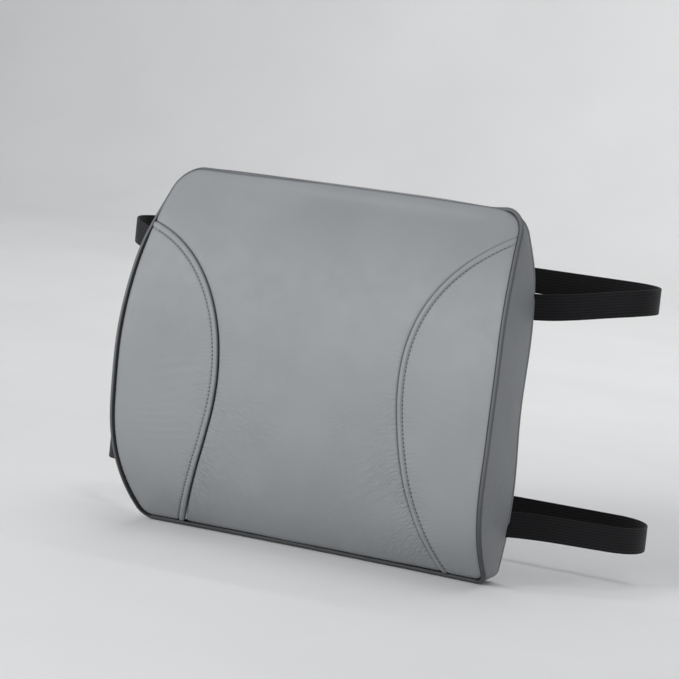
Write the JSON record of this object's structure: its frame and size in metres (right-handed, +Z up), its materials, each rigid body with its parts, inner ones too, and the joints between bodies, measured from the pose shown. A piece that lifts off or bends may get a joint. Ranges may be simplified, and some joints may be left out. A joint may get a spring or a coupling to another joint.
{
  "type": "lumbar support cushion",
  "caption": "Strap-on lumbar support cushion: curved foam body in a piped, zipped leather-look cover, with adjustable buckled straps that go round a seat back.",
  "frame": {"origin": "centre of the flat back face", "axes": "+Y out of the back face towards the seat back, +X to the right seen from the front, +Z up"},
  "size_m": [0.5917, 0.2292, 0.3565],
  "materials": {
    "cover_leather": "satin, fine leather grain",
    "back_mesh": "open knitted spacer mesh",
    "piping_leather": "satin, a darker grey than the cover",
    "piping_cord": "twisted cord",
    "liner_fabric": "thin knit",
    "foam": "open-cell slow-recovery foam",
    "zip_tape": "woven tape",
    "zip_teeth": "moulded teeth",
    "zip_metal": "dark lacquer",
    "webbing": "ribbed elastic webbing",
    "buckle_plastic": "fine matte moulded texture"
  },
  "bodies": {
    "cushion": {"front_centre_panel": "cover_leather", "front_left_panel": "cover_leather", "front_right_panel": "cover_leather", "side_gusset_left": "cover_leather", "side_gusset_right": "cover_leather", "top_gusset": "cover_leather", "bottom_gusset_front": "cover_leather", "bottom_gusset_rear": "cover_leather", "back_panel": "back_mesh", "front_piping_cover": "piping_leather", "front_piping_cord": "piping_cord", "foam_liner_front": "liner_fabric", "foam_liner_back": "liner_fabric", "foam_core": "foam", "zip_tape_front": "zip_tape", "zip_tape_rear": "zip_tape", "zip_teeth_front": "zip_teeth", "zip_teeth_rear": "zip_teeth", "zip_stops": "zip_metal", "upper_strap_left": "webbing", "upper_strap_right": "webbing", "upper_strap_loop": "webbing", "upper_buckle_socket": "buckle_plastic", "lower_strap_left": "webbing", "lower_strap_right": "webbing", "lower_strap_loop": "webbing", "lower_buckle_socket": "buckle_plastic"},
    "upper_adjuster_body": {"upper_adjuster": "buckle_plastic"},
    "upper_plug_body": {"upper_buckle_plug": "buckle_plastic"},
    "upper_prong_top_body": {"upper_prong_top": "buckle_plastic"},
    "upper_prong_bottom_body": {"upper_prong_bottom": "buckle_plastic"},
    "lower_adjuster_body": {"lower_adjuster": "buckle_plastic"},
    "lower_plug_body": {"lower_buckle_plug": "buckle_plastic"},
    "lower_prong_top_body": {"lower_prong_top": "buckle_plastic"},
    "lower_prong_bottom_body": {"lower_prong_bottom": "buckle_plastic"},
    "zip_slider_body": {"zip_slider": "zip_metal"},
    "zip_pull_body": {"zip_pull": "zip_metal"}
  },
  "joints": [
    {"name": "upper_buckle_release", "type": "slide", "parent": "cushion", "child": "upper_plug_body", "axis": [-1, 0, 0], "range_m": [0, 0.026], "deforming": ["upper_strap_loop", "upper_prong_top", "upper_prong_bottom"]},
    {"name": "upper_prong_top_squeeze", "type": "hinge", "parent": "upper_plug_body", "child": "upper_prong_top_body", "pos_m": [-0.017, 0.12382, 0.1103], "axis": [0, 1, 0], "range_deg": [0, 9], "stiffness_Nm_per_rad": 0.8},
    {"name": "upper_prong_bottom_squeeze", "type": "hinge", "parent": "upper_plug_body", "child": "upper_prong_bottom_body", "pos_m": [-0.017, 0.12382, 0.0897], "axis": [0, 1, 0], "range_deg": [-9, 0], "stiffness_Nm_per_rad": 0.8},
    {"name": "upper_adjuster_slide", "type": "slide", "parent": "cushion", "child": "upper_adjuster_body", "axis": [1, 0, 0], "range_m": [-0.06, 0.025], "deforming": ["upper_strap_loop"]},
    {"name": "lower_buckle_release", "type": "slide", "parent": "cushion", "child": "lower_plug_body", "axis": [-1, 0, 0], "range_m": [0, 0.026], "deforming": ["lower_strap_loop", "lower_prong_top", "lower_prong_bottom"]},
    {"name": "lower_prong_top_squeeze", "type": "hinge", "parent": "lower_plug_body", "child": "lower_prong_top_body", "pos_m": [-0.017, 0.13242, -0.1192], "axis": [0, 1, 0], "range_deg": [0, 9], "stiffness_Nm_per_rad": 0.8},
    {"name": "lower_prong_bottom_squeeze", "type": "hinge", "parent": "lower_plug_body", "child": "lower_prong_bottom_body", "pos_m": [-0.017, 0.13242, -0.1398], "axis": [0, 1, 0], "range_deg": [-9, 0], "stiffness_Nm_per_rad": 0.8},
    {"name": "lower_adjuster_slide", "type": "slide", "parent": "cushion", "child": "lower_adjuster_body", "axis": [1, 0, 0], "range_m": [-0.06, 0.025], "deforming": ["lower_strap_loop"]},
    {"name": "zip_slide", "type": "slide", "parent": "cushion", "child": "zip_slider_body", "axis": [1, 0, 0], "range_m": [0, 0.29], "deforming": ["zip_teeth_front", "zip_teeth_rear"]},
    {"name": "zip_pull_swing", "type": "hinge", "parent": "zip_slider_body", "child": "zip_pull_body", "pos_m": [-0.146, -0.00905, -0.17675], "axis": [0, 1, 0], "range_deg": [0, 175]}
  ],
  "couplings": [
    {"joint": "upper_prong_bottom_squeeze", "follows": "upper_prong_top_squeeze", "ratio": -1},
    {"joint": "lower_prong_bottom_squeeze", "follows": "lower_prong_top_squeeze", "ratio": -1}
  ]
}
